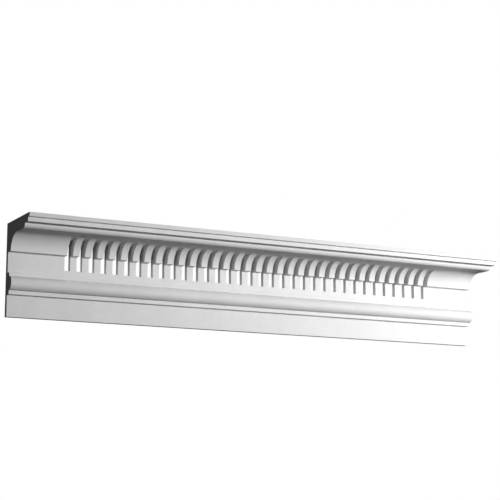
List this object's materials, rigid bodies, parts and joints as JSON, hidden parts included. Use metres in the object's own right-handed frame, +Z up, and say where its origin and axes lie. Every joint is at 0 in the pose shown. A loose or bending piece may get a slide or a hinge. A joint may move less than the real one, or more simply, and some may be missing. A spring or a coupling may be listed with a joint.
{
  "type": "cornice moulding length",
  "caption": "Straight cast length of ceiling cornice with a bead, a cove, square top bands and a row of slotted dentils, cut square at both ends.",
  "frame": {"origin": "the line where the wall face meets the ceiling face, half way along the length", "axes": "+X along the wall, +Y into the wall so the moulded front faces -Y, +Z up to the ceiling"},
  "size_m": [1, 0.121, 0.17],
  "materials": {
    "cornice": "matte white cast plaster"
  },
  "bodies": {
    "root": {"cornice": "cornice"}
  },
  "joints": []
}
